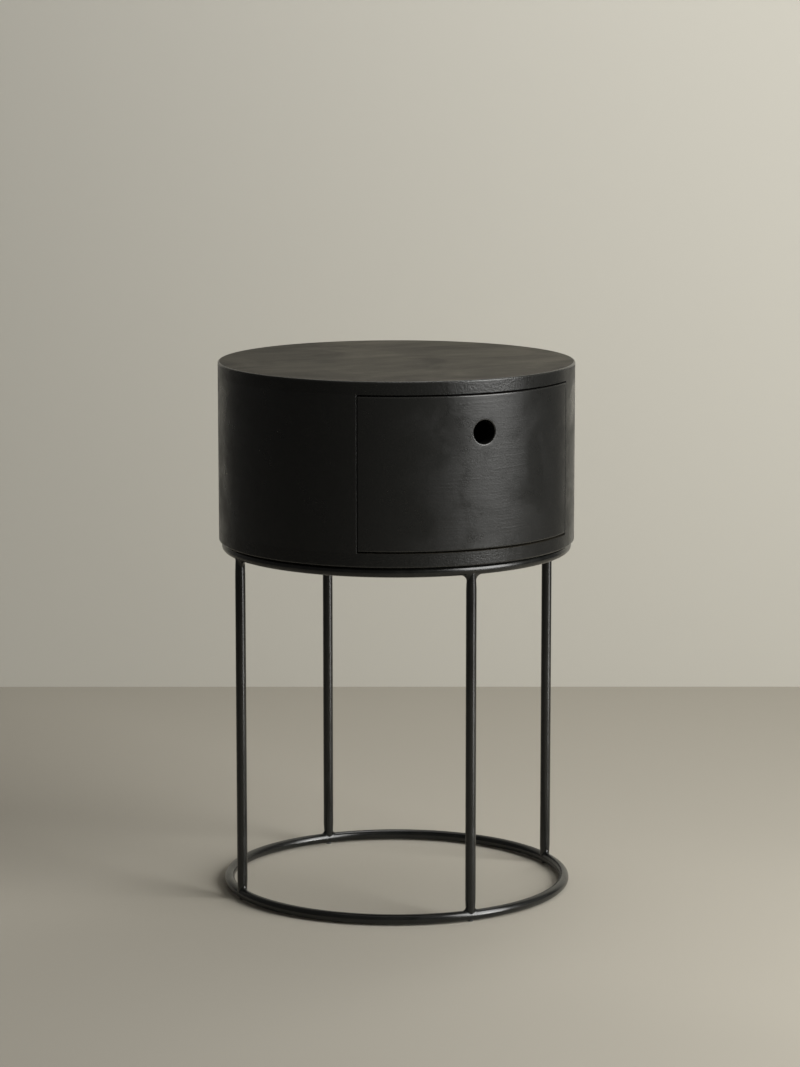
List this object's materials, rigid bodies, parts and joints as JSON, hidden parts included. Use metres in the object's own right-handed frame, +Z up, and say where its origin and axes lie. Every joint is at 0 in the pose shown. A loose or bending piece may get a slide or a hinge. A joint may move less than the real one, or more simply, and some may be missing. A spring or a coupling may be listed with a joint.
{
  "type": "round nightstand",
  "caption": "Round wooden drum nightstand with a curved drawer opened by a finger hole, on a tall welded frame of round steel bar.",
  "frame": {"origin": "on the floor, under the middle of the drum", "axes": "+Z up, -Y towards the front where the drawer opens, +X to the right of someone who faces the front"},
  "size_m": [0.44, 0.44, 0.66],
  "materials": {
    "black_wood": "satin black stain",
    "black_steel": "satin black powder coat",
    "box_wood": "dark matt stain",
    "dowel_wood": "bare beech",
    "zinc_steel": "zinc plated",
    "cage_nylon": "moulded",
    "ball_steel": "polished",
    "glide_nylon": "moulded"
  },
  "bodies": {
    "cabinet": {"upper_ring": "black_steel", "lower_ring": "black_steel", "leg_front": "black_steel", "leg_right": "black_steel", "leg_back": "black_steel", "leg_left": "black_steel", "mounting_tab_1": "black_steel", "mounting_tab_2": "black_steel", "mounting_tab_3": "black_steel", "mounting_tab_4": "black_steel", "floor_glides": "glide_nylon", "frame_screws": "zinc_steel", "top_panel": "black_wood", "bottom_panel": "black_wood", "drum_shell": "black_wood", "runner_board_left": "box_wood", "runner_board_right": "box_wood", "top_dowels": "dowel_wood", "bottom_dowels": "dowel_wood", "board_dowels": "dowel_wood", "slide_outer_left": "zinc_steel", "slide_outer_right": "zinc_steel", "outer_rail_screws": "zinc_steel"},
    "drawer": {"drawer_front": "black_wood", "drawer_side_left": "box_wood", "drawer_side_right": "box_wood", "drawer_back": "box_wood", "drawer_bottom": "box_wood", "front_dowels": "dowel_wood", "back_dowels": "dowel_wood", "slide_inner_left": "zinc_steel", "slide_inner_right": "zinc_steel", "inner_rail_screws": "zinc_steel"},
    "middle_rails": {"slide_middle_left": "zinc_steel", "slide_middle_right": "zinc_steel"},
    "outer_ball_cages": {"outer_ball_cage_left": "cage_nylon", "outer_ball_cage_right": "cage_nylon", "outer_balls": "ball_steel"},
    "inner_ball_cages": {"inner_ball_cage_left": "cage_nylon", "inner_ball_cage_right": "cage_nylon", "inner_balls": "ball_steel"}
  },
  "joints": [
    {"name": "drawer_slide", "type": "slide", "parent": "cabinet", "child": "drawer", "axis": [0, -1, 0], "range_m": [0, 0.27]},
    {"name": "middle_rail_slide", "type": "slide", "parent": "cabinet", "child": "middle_rails", "axis": [0, -1, 0], "range_m": [0, 0.135]},
    {"name": "outer_cage_slide", "type": "slide", "parent": "cabinet", "child": "outer_ball_cages", "axis": [0, -1, 0], "range_m": [0, 0.0675]},
    {"name": "inner_cage_slide", "type": "slide", "parent": "cabinet", "child": "inner_ball_cages", "axis": [0, -1, 0], "range_m": [0, 0.2025]}
  ],
  "couplings": [
    {"joint": "middle_rail_slide", "follows": "drawer_slide", "ratio": 0.5},
    {"joint": "outer_cage_slide", "follows": "drawer_slide", "ratio": 0.25},
    {"joint": "inner_cage_slide", "follows": "drawer_slide", "ratio": 0.75}
  ]
}
